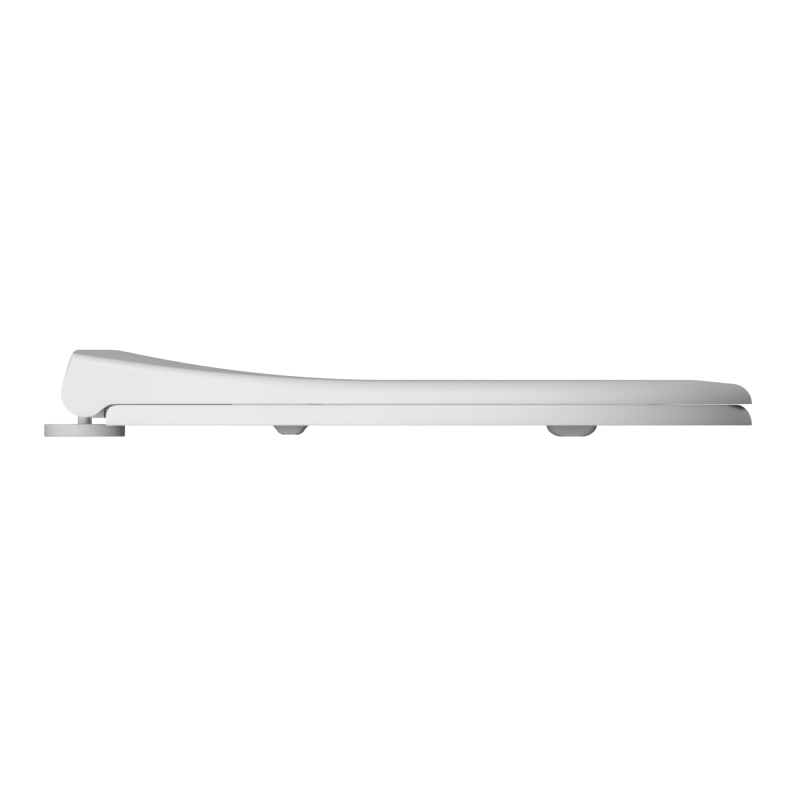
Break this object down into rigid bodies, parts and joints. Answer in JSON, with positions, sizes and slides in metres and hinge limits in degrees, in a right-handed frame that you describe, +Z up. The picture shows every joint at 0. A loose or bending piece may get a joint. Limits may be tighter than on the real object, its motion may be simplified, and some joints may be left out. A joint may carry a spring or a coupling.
{
  "type": "electric bidet seat",
  "caption": "Electric bidet toilet seat with a slim humped lid, heated seat ring, washing nozzles and two mounting feet.",
  "frame": {"origin": "on the deck of the toilet bowl, midway between the two mounting bolts", "axes": "+X to the front of the seat, +Y across, +Z up"},
  "size_m": [0.4605, 0.364, 0.0567],
  "materials": {
    "gloss_white": "glossy moulded white",
    "satin_white": "satin moulded white",
    "bumper_rubber": "soft pale grey rubber",
    "gasket_rubber": "dark grey rubber",
    "pale_grey": "satin pale grey",
    "mid_grey": "satin grey",
    "bush_plastic": "ivory bearing plastic",
    "steel": "bright steel",
    "tank_plastic": "heat resistant beige",
    "tube_silicone": "milky silicone",
    "board_green": "coated circuit board",
    "heating_foil": "thin heating foil",
    "dark_window": "dark translucent window",
    "carbon_filter": "charcoal filter block"
  },
  "bodies": {
    "root": {"chassis": "gloss_white", "top_cover": "gloss_white", "foot_discs": "satin_white", "foot_gaskets": "gasket_rubber", "hinge_posts": "satin_white", "seat_damper": "mid_grey", "lid_damper": "mid_grey", "inlet_valve": "pale_grey", "inlet_tube": "tube_silicone", "power_gland": "gasket_rubber", "heater_tank": "tank_plastic", "heater_element": "steel", "outlet_tube": "tube_silicone", "diverter_valve": "pale_grey", "nozzle_guide": "mid_grey", "rear_nozzle_motor": "steel", "front_nozzle_motor": "steel", "mouth_bezel": "pale_grey", "main_board": "board_green", "power_board": "board_green", "board_spacers": "steel", "fan_housing": "mid_grey", "fan_motor": "steel", "dryer_duct": "mid_grey", "dryer_heater": "heating_foil", "deodoriser_filter": "carbon_filter", "button_switches": "mid_grey", "status_window": "dark_window", "seat_sensor_window": "dark_window", "cover_screws": "steel"},
    "seat": {"seat_top": "gloss_white", "seat_bottom": "satin_white", "seat_heating_mat": "heating_foil", "seat_thermostat": "mid_grey", "front_bumpers": "bumper_rubber", "rear_bumpers": "bumper_rubber", "seat_lug_bush": "bush_plastic", "seat_damper_shaft": "steel", "seat_screws": "steel"},
    "lid": {"lid_shell": "gloss_white", "lid_bushes": "bush_plastic", "lid_buffers": "bumper_rubber", "lid_damper_shaft": "steel"},
    "rear_nozzle": {"rear_nozzle": "satin_white", "rear_nozzle_tip": "pale_grey"},
    "front_nozzle": {"front_nozzle": "satin_white", "front_nozzle_tip": "pale_grey"},
    "rear_pinion": {"rear_pinion": "bush_plastic"},
    "front_pinion": {"front_pinion": "bush_plastic"},
    "latch_left": {"release_latch_left": "steel"},
    "latch_right": {"release_latch_right": "steel"},
    "stop_button": {"stop_button": "pale_grey"},
    "wash_button": {"wash_button": "pale_grey"},
    "fan_rotor": {"fan_rotor": "mid_grey"}
  },
  "joints": [
    {"name": "seat_hinge", "type": "hinge", "parent": "root", "child": "seat", "pos_m": [0.0013, 0, 0.0284], "axis": [0, 1, 0], "range_deg": [-100, 0]},
    {"name": "lid_hinge", "type": "hinge", "parent": "seat", "child": "lid", "pos_m": [0.0013, 0, 0.0284], "axis": [0, -1, 0], "range_deg": [0, 105]},
    {"name": "rear_nozzle_slide", "type": "slide", "parent": "root", "child": "rear_nozzle", "axis": [0.9397, 0, -0.342], "range_m": [0, 0.04398]},
    {"name": "front_nozzle_slide", "type": "slide", "parent": "root", "child": "front_nozzle", "axis": [0.9397, 0, -0.342], "range_m": [0, 0.04398]},
    {"name": "rear_pinion_spin", "type": "hinge", "parent": "root", "child": "rear_pinion", "pos_m": [0.0748, -0.0185, 0.02285], "axis": [-0.342, 0, -0.9397], "range_deg": [-5, 510]},
    {"name": "front_pinion_spin", "type": "hinge", "parent": "root", "child": "front_pinion", "pos_m": [0.0748, 0.0185, 0.02285], "axis": [-0.342, 0, -0.9397], "range_deg": [-510, 5]},
    {"name": "latch_left_press", "type": "slide", "parent": "root", "child": "latch_left", "axis": [1, 0, 0], "range_m": [0, 0.0032], "stiffness_N_per_m": 300},
    {"name": "latch_right_press", "type": "slide", "parent": "root", "child": "latch_right", "axis": [1, 0, 0], "range_m": [0, 0.0032], "stiffness_N_per_m": 300},
    {"name": "stop_press", "type": "slide", "parent": "root", "child": "stop_button", "axis": [-0.1721, 0, -0.9851], "range_m": [0, 0.0012], "stiffness_N_per_m": 400},
    {"name": "wash_press", "type": "slide", "parent": "root", "child": "wash_button", "axis": [-0.1721, 0, -0.9851], "range_m": [0, 0.0012], "stiffness_N_per_m": 400},
    {"name": "fan_spin", "type": "hinge", "parent": "root", "child": "fan_rotor", "pos_m": [0.068, 0.057, 0.02], "axis": [0, 0, 1], "continuous": true}
  ],
  "couplings": [
    {"joint": "rear_pinion_spin", "follows": "rear_nozzle_slide", "rad_per_m": 200},
    {"joint": "front_pinion_spin", "follows": "front_nozzle_slide", "rad_per_m": -200}
  ]
}
